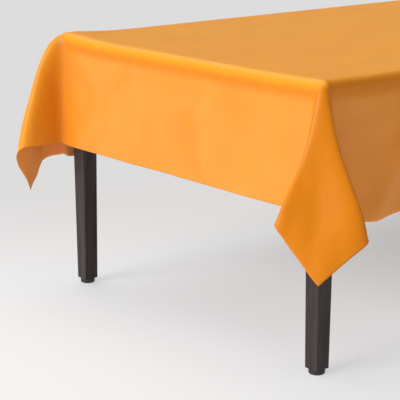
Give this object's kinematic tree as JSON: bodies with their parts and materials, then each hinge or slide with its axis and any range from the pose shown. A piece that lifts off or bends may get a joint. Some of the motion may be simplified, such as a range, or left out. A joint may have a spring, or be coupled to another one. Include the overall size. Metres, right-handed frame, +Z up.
{
  "type": "tablecloth on a table",
  "caption": "Rectangular dining table with square tapered legs, covered by a smooth draped plastic tablecloth that hangs at the sides and falls in a folded tail at each corner.",
  "frame": {"origin": "on the floor under the middle of the table", "axes": "+X along the table's length, +Y along its width, +Z up; the front is the long side at -Y"},
  "size_m": [1.9516, 1.4024, 0.7446],
  "materials": {
    "orange_vinyl": "smooth semi-gloss, slightly translucent film",
    "wood": "espresso stain under satin lacquer",
    "zinc_steel": "zinc plated",
    "nylon": "moulded black nylon"
  },
  "bodies": {
    "table": {"table_top": "wood", "apron_front": "wood", "apron_back": "wood", "apron_left": "wood", "apron_right": "wood", "centre_rail": "wood", "leg_front_left": "wood", "leg_front_right": "wood", "leg_back_right": "wood", "leg_back_left": "wood", "corner_bracket_front_left": "zinc_steel", "corner_bracket_front_right": "zinc_steel", "corner_bracket_back_right": "zinc_steel", "corner_bracket_back_left": "zinc_steel", "bracket_screw_front_left_1": "zinc_steel", "bracket_screw_front_left_2": "zinc_steel", "bracket_screw_front_right_1": "zinc_steel", "bracket_screw_front_right_2": "zinc_steel", "bracket_screw_back_right_1": "zinc_steel", "bracket_screw_back_right_2": "zinc_steel", "bracket_screw_back_left_1": "zinc_steel", "bracket_screw_back_left_2": "zinc_steel", "hanger_bolt_front_left": "zinc_steel", "hanger_bolt_front_right": "zinc_steel", "hanger_bolt_back_right": "zinc_steel", "hanger_bolt_back_left": "zinc_steel", "washer_front_left": "zinc_steel", "washer_front_right": "zinc_steel", "washer_back_right": "zinc_steel", "washer_back_left": "zinc_steel", "hex_nut_front_left": "zinc_steel", "hex_nut_front_right": "zinc_steel", "hex_nut_back_right": "zinc_steel", "hex_nut_back_left": "zinc_steel", "top_clip_front_left": "zinc_steel", "top_clip_front_right": "zinc_steel", "top_clip_right": "zinc_steel", "top_clip_back_right": "zinc_steel", "top_clip_back_left": "zinc_steel", "top_clip_left": "zinc_steel", "clip_screw_front_left": "zinc_steel", "clip_screw_front_right": "zinc_steel", "clip_screw_right": "zinc_steel", "clip_screw_back_right": "zinc_steel", "clip_screw_back_left": "zinc_steel", "clip_screw_left": "zinc_steel", "foot_insert_front_left": "zinc_steel", "foot_insert_front_right": "zinc_steel", "foot_insert_back_right": "zinc_steel", "foot_insert_back_left": "zinc_steel"},
    "foot_front_left": {"foot_pad_front_left": "nylon"},
    "foot_front_right": {"foot_pad_front_right": "nylon"},
    "foot_back_right": {"foot_pad_back_right": "nylon"},
    "foot_back_left": {"foot_pad_back_left": "nylon"},
    "stud_front_left": {"foot_stud_front_left": "zinc_steel"},
    "stud_front_right": {"foot_stud_front_right": "zinc_steel"},
    "stud_back_right": {"foot_stud_back_right": "zinc_steel"},
    "stud_back_left": {"foot_stud_back_left": "zinc_steel"},
    "cloth": {"tablecloth": "orange_vinyl"}
  },
  "joints": [
    {"name": "cloth_lift", "type": "slide", "parent": "table", "child": "cloth", "axis": [0, 0, 1], "range_m": [0, 0.55]},
    {"name": "foot_extend_front_left", "type": "slide", "parent": "table", "child": "foot_front_left", "axis": [0, 0, -1], "range_m": [0, 0.01]},
    {"name": "stud_turn_front_left", "type": "hinge", "parent": "foot_front_left", "child": "stud_front_left", "pos_m": [-0.7825, -0.489, 0.02], "axis": [0, 0, -1], "range_deg": [0, 2880]},
    {"name": "foot_extend_front_right", "type": "slide", "parent": "table", "child": "foot_front_right", "axis": [0, 0, -1], "range_m": [0, 0.01]},
    {"name": "stud_turn_front_right", "type": "hinge", "parent": "foot_front_right", "child": "stud_front_right", "pos_m": [0.7825, -0.489, 0.02], "axis": [0, 0, -1], "range_deg": [0, 2880]},
    {"name": "foot_extend_back_right", "type": "slide", "parent": "table", "child": "foot_back_right", "axis": [0, 0, -1], "range_m": [0, 0.01]},
    {"name": "stud_turn_back_right", "type": "hinge", "parent": "foot_back_right", "child": "stud_back_right", "pos_m": [0.7825, 0.489, 0.02], "axis": [0, 0, -1], "range_deg": [0, 2880]},
    {"name": "foot_extend_back_left", "type": "slide", "parent": "table", "child": "foot_back_left", "axis": [0, 0, -1], "range_m": [0, 0.01]},
    {"name": "stud_turn_back_left", "type": "hinge", "parent": "foot_back_left", "child": "stud_back_left", "pos_m": [-0.7825, 0.489, 0.02], "axis": [0, 0, -1], "range_deg": [0, 2880]}
  ],
  "couplings": [
    {"joint": "foot_extend_front_left", "follows": "stud_turn_front_left", "m_per_rad": 0.00019894},
    {"joint": "foot_extend_front_right", "follows": "stud_turn_front_right", "m_per_rad": 0.00019894},
    {"joint": "foot_extend_back_right", "follows": "stud_turn_back_right", "m_per_rad": 0.00019894},
    {"joint": "foot_extend_back_left", "follows": "stud_turn_back_left", "m_per_rad": 0.00019894}
  ]
}
